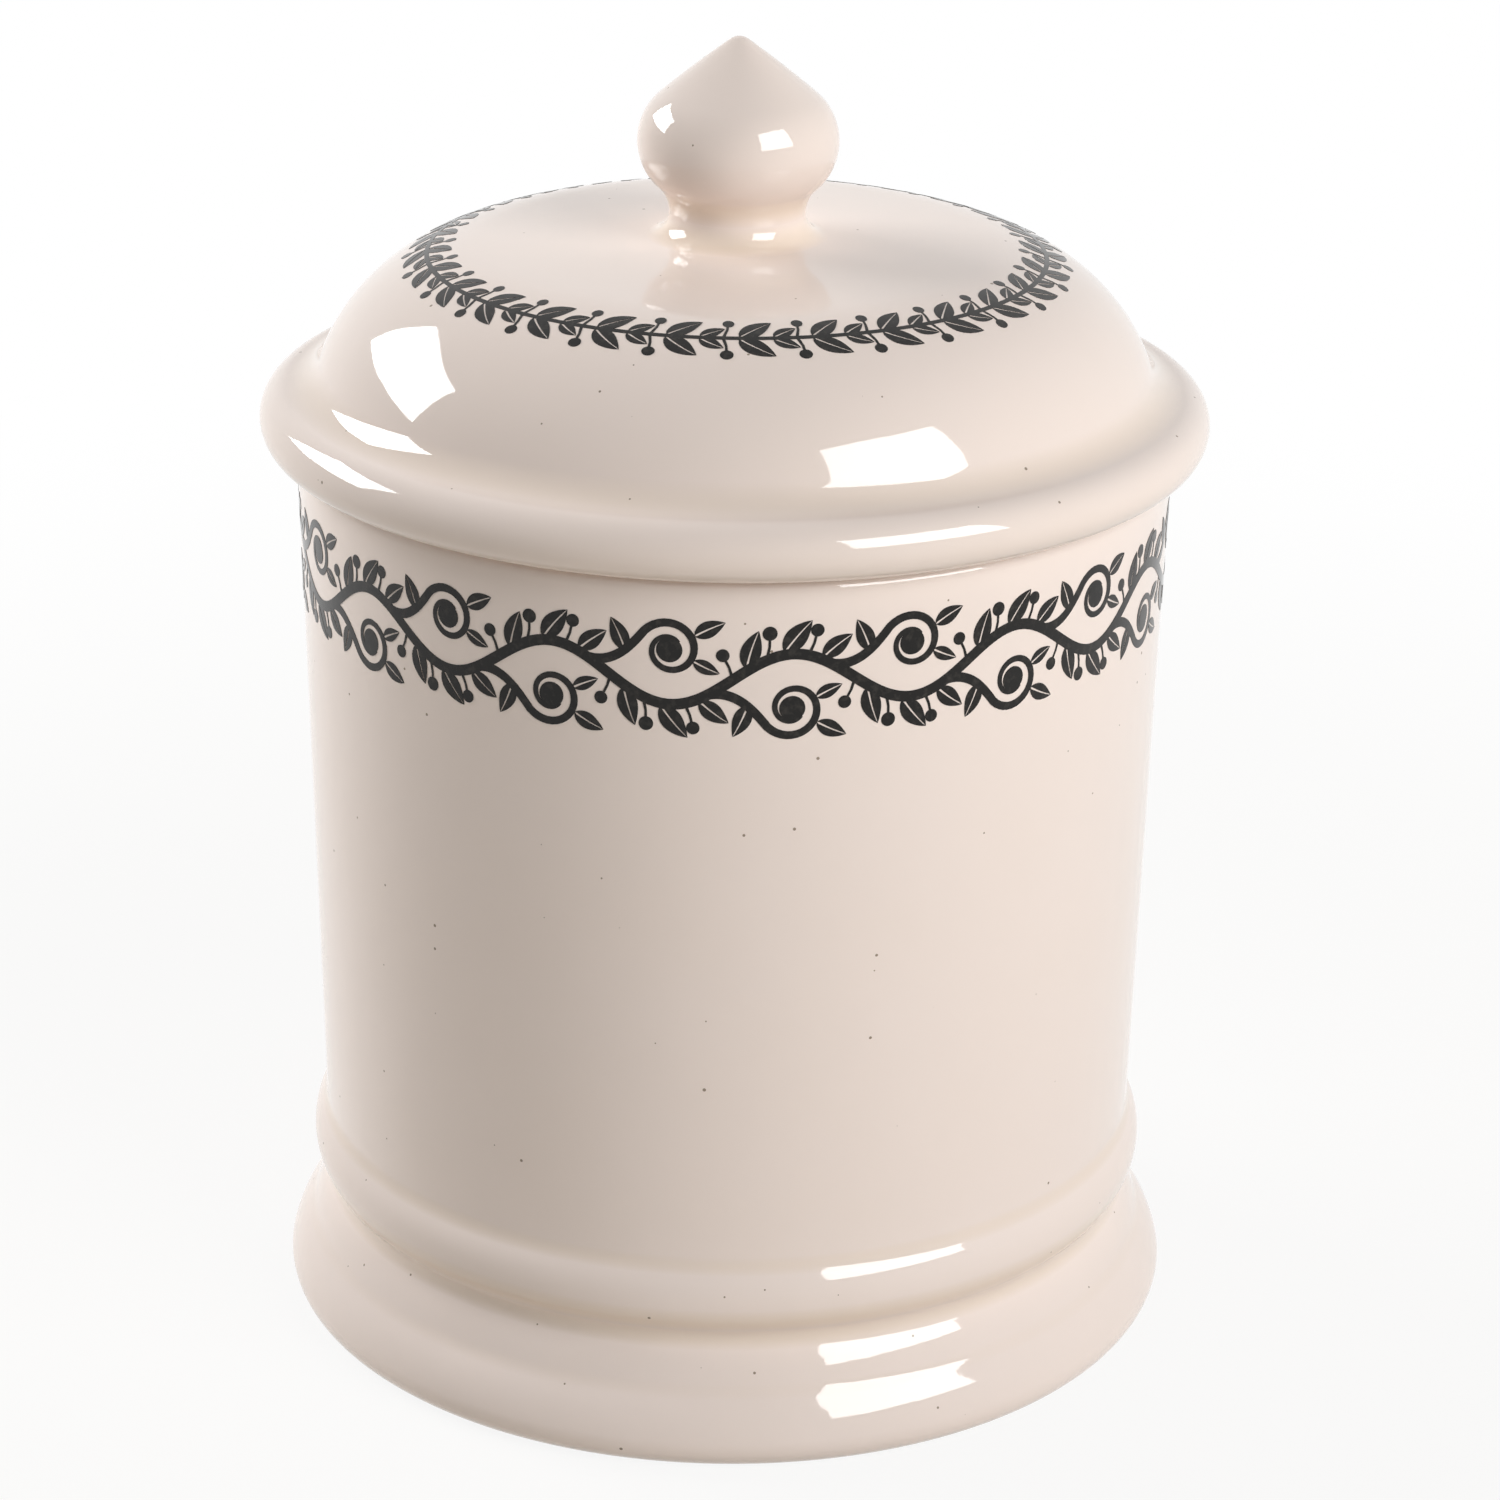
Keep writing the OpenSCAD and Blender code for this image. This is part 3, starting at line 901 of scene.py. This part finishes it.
def speck_group():
    """Mask of the few dark specks that show through a clear glaze."""
    inputs = [
        ("Position", "NodeSocketVector"), ("Spacing", "NodeSocketFloat", 0.0026),
        ("Radius share", "NodeSocketFloat", 0.045), ("Kept share", "NodeSocketFloat", 0.5),
    ]
    tree, group_in, group_out = new_group(
        "glaze_specks", "ShaderNodeTree", inputs, [("Mask", "NodeSocketFloat")]
    )
    cells = new_node(tree, "ShaderNodeTexVoronoi", voronoi_dimensions="3D", feature="F1")
    feed(tree, cells.inputs["Vector"], group_in.outputs["Position"])
    feed(tree, cells.inputs["Scale"], maths(tree, "DIVIDE", 1.0, group_in.outputs["Spacing"]))
    chance = new_node(tree, "ShaderNodeSeparateColor")
    feed(tree, chance.inputs["Color"], cells.outputs["Color"])
    varied = maths(tree, "ADD", chance.outputs["Green"], SPECK_LEAST)
    size = maths(tree, "MULTIPLY", group_in.outputs["Radius share"], varied)
    near = maths(tree, "LESS_THAN", cells.outputs["Distance"], size)
    kept = maths(tree, "LESS_THAN", chance.outputs["Red"], group_in.outputs["Kept share"])
    feed(tree, group_out.inputs["Mask"], maths(tree, "MULTIPLY", near, kept))
    return tree


def blend_colours(tree, share, first, second):
    """Two colours mixed by a share."""
    node = new_node(tree, "ShaderNodeMix", data_type="RGBA")
    feed(tree, node.inputs["Factor"], share)
    feed(tree, node.inputs["A"], first)
    feed(tree, node.inputs["B"], second)
    return node.outputs["Result"]


def grouped(tree, group, values):
    """A group placed in a material with its own values."""
    node = new_node(tree, "ShaderNodeGroup", node_tree=group)
    for name, value in values.items():
        feed(tree, node.inputs[name], value)
    return node.outputs[0]


def blank_finish(name):
    """A new material, its tree and its shader."""
    material = bpy.data.materials.new(name)
    material.use_nodes = True
    return material, material.node_tree, material.node_tree.nodes["Principled BSDF"]


def height_share(tree, place, low, high):
    """One at a low height, nothing at a high one."""
    height = new_node(tree, "ShaderNodeSeparateXYZ")
    feed(tree, height.inputs["Vector"], place)
    ramp = new_node(tree, "ShaderNodeMapRange", interpolation_type="SMOOTHSTEP")
    for name, value in (("From Min", low), ("From Max", high), ("To Min", 1.0), ("To Max", 0.0)):
        ramp.inputs[name].default_value = value
    feed(tree, ramp.inputs["Value"], height.outputs["Z"])
    return ramp.outputs["Result"]


def rippled_normal(tree, place, ripple, fine_share):
    """Normal of a glaze that flowed a little before it set."""
    bump = new_node(tree, "ShaderNodeBump")
    bump.inputs["Strength"].default_value = 1.0
    bump.inputs["Distance"].default_value = RIPPLE_DEPTH
    sizes = {"Slow size": SLOW_RIPPLE, "Fine size": FINE_RIPPLE, "Fine share": fine_share}
    feed(tree, bump.inputs["Height"], grouped(tree, ripple, {"Position": place, **sizes}))
    return bump.outputs["Normal"]


def clear_glaze(name, body_colour, ripple, specks, has_foot=False):
    """Clear glossy glaze over cream earthenware; on the pot, the ground foot ring is left bare."""
    material, tree, shader = blank_finish(name)
    place = position(tree)
    # Hollows darken towards the deepest colour as pooled glaze and painted shade, with clouds of glaze
    # tone at random
    pool_and_shade = new_node(tree, "ShaderNodeAttribute", attribute_type="GEOMETRY", attribute_name="pool_and_shade")
    clouds = new_node(tree, "ShaderNodeTexNoise", noise_dimensions="3D")
    feed(tree, clouds.inputs["Vector"], place)
    clouds.inputs["Scale"].default_value = CLOUD_SCALE
    clouds.inputs["Detail"].default_value = NOISE_DETAIL
    tone_and_shade = maths(tree, "MULTIPLY_ADD", clouds.outputs["Fac"], CLOUD_SHARE, pool_and_shade.outputs["Fac"])
    colour = blend_colours(tree, tone_and_shade, body_colour, POOLED_GLAZE_AND_SHADE)
    mask = grouped(tree, specks, {"Position": place})
    colour = blend_colours(tree, mask, colour, SPECK)
    fine_share = FINE_SHARE
    if has_foot:
        bare = height_share(tree, place, *BARE_HEIGHTS)
        colour = blend_colours(tree, bare, colour, BISCUIT)
        roughness = maths(tree, "MULTIPLY_ADD", bare, BARE_ROUGHER, GLAZE_ROUGHNESS)
        feed(tree, shader.inputs["Roughness"], roughness)
        low = height_share(tree, place, *FOOT_RIPPLE_HEIGHTS)
        fine_share = maths(tree, "MULTIPLY_ADD", low, FOOT_FINE_SHARE, fine_share)
    else:
        shader.inputs["Roughness"].default_value = GLAZE_ROUGHNESS
    shader.inputs["IOR"].default_value = GLAZE_IOR
    feed(tree, shader.inputs["Base Color"], colour)
    feed(tree, shader.inputs["Normal"], rippled_normal(tree, place, ripple, fine_share))
    return material


def black_print(ripple):
    """Black print under the same glaze, a little uneven."""
    material, tree, shader = blank_finish("underglaze_print")
    place = position(tree)
    mottle = new_node(tree, "ShaderNodeTexNoise", noise_dimensions="3D")
    feed(tree, mottle.inputs["Vector"], place)
    mottle.inputs["Scale"].default_value = MOTTLE_SCALE
    mottle.inputs["Detail"].default_value = NOISE_DETAIL
    worn = new_node(tree, "ShaderNodeMapRange")
    worn.inputs["From Min"].default_value = WORN_FROM
    worn.inputs["From Max"].default_value = WORN_TO
    feed(tree, worn.inputs["Value"], mottle.outputs["Fac"])
    colour = blend_colours(tree, worn.outputs["Result"], PRINT_BLACK, PRINT_WORN)
    feed(tree, shader.inputs["Base Color"], colour)
    shader.inputs["Roughness"].default_value = GLAZE_ROUGHNESS
    shader.inputs["IOR"].default_value = GLAZE_IOR
    shader.inputs["Specular IOR Level"].default_value = PRINT_GLOSS
    feed(tree, shader.inputs["Normal"], rippled_normal(tree, place, ripple, FINE_SHARE))
    return material


# The studio

def seen_directly(tree):
    """One for rays that show the background: to the camera, in gloss or through glass."""
    path = new_node(tree, "ShaderNodeLightPath").outputs
    mirrored_or_through = maths(tree, "MAXIMUM", path["Is Glossy Ray"], path["Is Transmission Ray"])
    return maths(tree, "MAXIMUM", path["Is Camera Ray"], mirrored_or_through)


def pale_floor():
    """Plain floor, lifted to white where it is seen, that keeps the object's shadow."""
    material, tree, shader = blank_finish("pale_floor")
    shader.inputs["Base Color"].default_value = PALE_FLOOR
    shader.inputs["Roughness"].default_value = FLOOR_ROUGHNESS
    shader.inputs["Specular IOR Level"].default_value = 0.0
    away = new_node(tree, "ShaderNodeVectorMath", operation="LENGTH")
    feed(tree, away.inputs[0], position(tree))
    lift = new_node(tree, "ShaderNodeMapRange", interpolation_type="SMOOTHSTEP")
    limits = {"From Min": NEAR_REACH, "From Max": FAR_REACH, "To Min": NEAR_LIFT, "To Max": FAR_LIFT}
    for name, value in limits.items():
        lift.inputs[name].default_value = value
    feed(tree, lift.inputs["Value"], away.outputs["Value"])
    white = new_node(tree, "ShaderNodeEmission")
    mixed = new_node(tree, "ShaderNodeMixShader")
    feed(tree, mixed.inputs[0], maths(tree, "MULTIPLY", seen_directly(tree), lift.outputs["Result"]))
    feed(tree, mixed.inputs[1], shader.outputs["BSDF"])
    feed(tree, mixed.inputs[2], white.outputs["Emission"])
    feed(tree, tree.nodes["Material Output"].inputs["Surface"], mixed.outputs["Shader"])
    corners = [(x * FLOOR_HALF, y * FLOOR_HALF, 0.0) for x, y in ((-1, -1), (1, -1), (1, 1), (-1, 1))]
    mesh = bpy.data.meshes.new("floor")
    mesh.from_pydata(corners, [], [(0, 1, 2, 3)])
    mesh.materials.append(material)
    floor = bpy.data.objects.new("floor", mesh)
    bpy.context.scene.collection.objects.link(floor)


def studio_world():
    """Soft light from a low band behind the pot, white where it is seen."""
    world = bpy.data.worlds.new("studio")
    world.use_nodes = True
    tree = world.node_tree
    background = tree.nodes["Background"]
    background.inputs["Color"].default_value = (1.0, 1.0, 1.0, 1.0)
    towards = new_node(tree, "ShaderNodeSeparateXYZ")
    feed(tree, towards.inputs["Vector"], new_node(tree, "ShaderNodeTexCoord").outputs["Generated"])
    level = maths(tree, "SUBTRACT", 1.0, maths(tree, "ABSOLUTE", towards.outputs["Z"]))
    behind = maths(tree, "MAXIMUM", towards.outputs["Y"], 0.0)
    band = maths(tree, "MULTIPLY", maths(tree, "POWER", level, BACK_LIGHT_POWER), behind)
    lit = maths(tree, "MULTIPLY_ADD", band, BACK_LIGHT, FILL)
    seen = seen_directly(tree)
    unseen = maths(tree, "SUBTRACT", 1.0, seen)
    feed(tree, background.inputs["Strength"], maths(tree, "MULTIPLY_ADD", lit, unseen, seen))
    bpy.context.scene.world = world


def soft_box(name, box):
    """An upright soft box that faces the pot's axis."""
    angle = math.radians(box["bearing"])
    height = box["high"] - box["low"]
    light = bpy.data.lights.new(name, "AREA")
    light.shape = "RECTANGLE"
    light.size = box["width"]
    light.size_y = height
    light.energy = box["radiance"] * box["width"] * height * math.pi
    lamp = bpy.data.objects.new(name, light)
    towards = Vector((-math.sin(angle), math.cos(angle), 0.0))
    place = Vector((0.0, 0.0, box["low"] + height / 2)) - box["away"] * towards
    lamp.matrix_world = Matrix.Translation(place) @ towards.to_track_quat("-Z", "Y").to_matrix().to_4x4()
    lamp.visible_camera = False
    bpy.context.scene.collection.objects.link(lamp)


def photo_camera():
    """The camera, where the photograph's camera stood."""
    data = bpy.data.cameras.new("camera")
    data.lens = CAMERA_LENS
    data.sensor_width = SENSOR
    camera = bpy.data.objects.new("camera", data)
    level = math.cos(CAMERA_TILT)
    east = level * math.sin(CAMERA_PAN)
    north = level * math.cos(CAMERA_PAN)
    forward = Vector((east, north, -math.sin(CAMERA_TILT)))
    right = forward.cross(Vector((0.0, 0.0, 1.0))).normalized()
    up = right.cross(forward)
    across = right * math.cos(CAMERA_ROLL) + up * math.sin(CAMERA_ROLL)
    upward = up * math.cos(CAMERA_ROLL) - right * math.sin(CAMERA_ROLL)
    turned = Matrix((across, upward, -forward)).transposed().to_4x4()
    camera.matrix_world = Matrix.Translation((0.0, -CAMERA_BACK, CAMERA_UP)) @ turned
    bpy.context.scene.collection.objects.link(camera)
    bpy.context.scene.camera = camera


# The object

def build_pieces():
    """The three pieces and the two printed borders."""
    lathe = lathe_tree()
    ring = ring_tree()
    ripple = ripple_group()
    specks = speck_group()
    ink = black_print(ripple)
    pot_glaze = clear_glaze("pot_glaze_finish", POT_GLAZE, ripple, specks, has_foot=True)
    lid_glaze = clear_glaze("lid_glaze_finish", LID_GLAZE_WITH_PAINTED_SHADE, ripple, specks)
    knob_glaze = clear_glaze("knob_glaze_finish", LID_GLAZE_WITH_PAINTED_SHADE, ripple, specks)

    pot = turned_form("pot_body", pot_outline(), WALL_SEGMENTS, pot_glaze, lathe)
    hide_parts("pot")
    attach(pot, "pot")

    lid = turned_form("lid_shell", lid_outline(), WALL_SEGMENTS, lid_glaze, lathe)
    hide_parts("lid")
    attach(lid, "lid")

    knob = turned_form("knob_onion", knob_outline(), KNOB_SEGMENTS, knob_glaze, lathe)
    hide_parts("knob")
    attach(knob, "lid")

    seams = (VINE_START, VINE_START + 2 * VINE_HALF_WAVE)
    vine = laid_border("pot_vine", vine_repeat(), on_wall, seams, VINE_REPEATS, ink, ring)
    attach(vine, "pot")

    seams = (0.0, SPRIG_WIDTH)
    sprig = laid_border("lid_sprig", sprig_repeat(), on_dome, seams, SPRIG_REPEATS, ink, ring)
    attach(sprig, "lid")


def build_studio():
    """Floor, world, soft boxes and camera."""
    pale_floor()
    studio_world()
    soft_box("right_box", RIGHT_BOX)
    soft_box("left_box", LEFT_BOX)
    photo_camera()
    bpy.context.scene.view_settings.view_transform = "Standard"


build_pieces()
build_studio()
